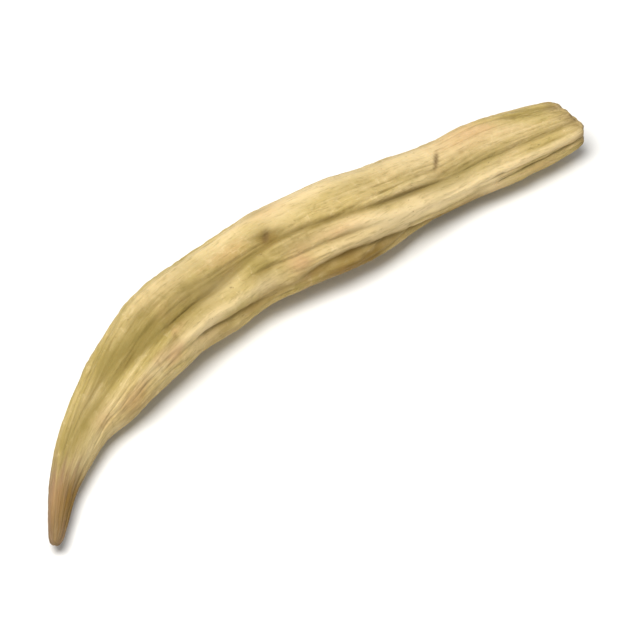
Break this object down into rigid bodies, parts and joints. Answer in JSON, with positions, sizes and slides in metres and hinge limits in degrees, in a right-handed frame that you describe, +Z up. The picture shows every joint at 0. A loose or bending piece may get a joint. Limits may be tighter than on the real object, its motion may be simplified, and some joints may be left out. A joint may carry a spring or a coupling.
{
  "type": "safed musli root",
  "caption": "Dried pale root, grown in one piece: arched, thin at one end and blunt at the other, with long furrows and ridges.",
  "frame": {"origin": "middle of the base of the bounding box, on the surface the root lies on", "axes": "+X along the root from the thin tip to the blunt end, +Y towards the outer side of the arch, +Z up"},
  "size_m": [0.0674, 0.016, 0.008],
  "materials": {
    "root": "dry, matt, pale cream, furrowed"
  },
  "bodies": {
    "root": {"root": "root"}
  },
  "joints": []
}
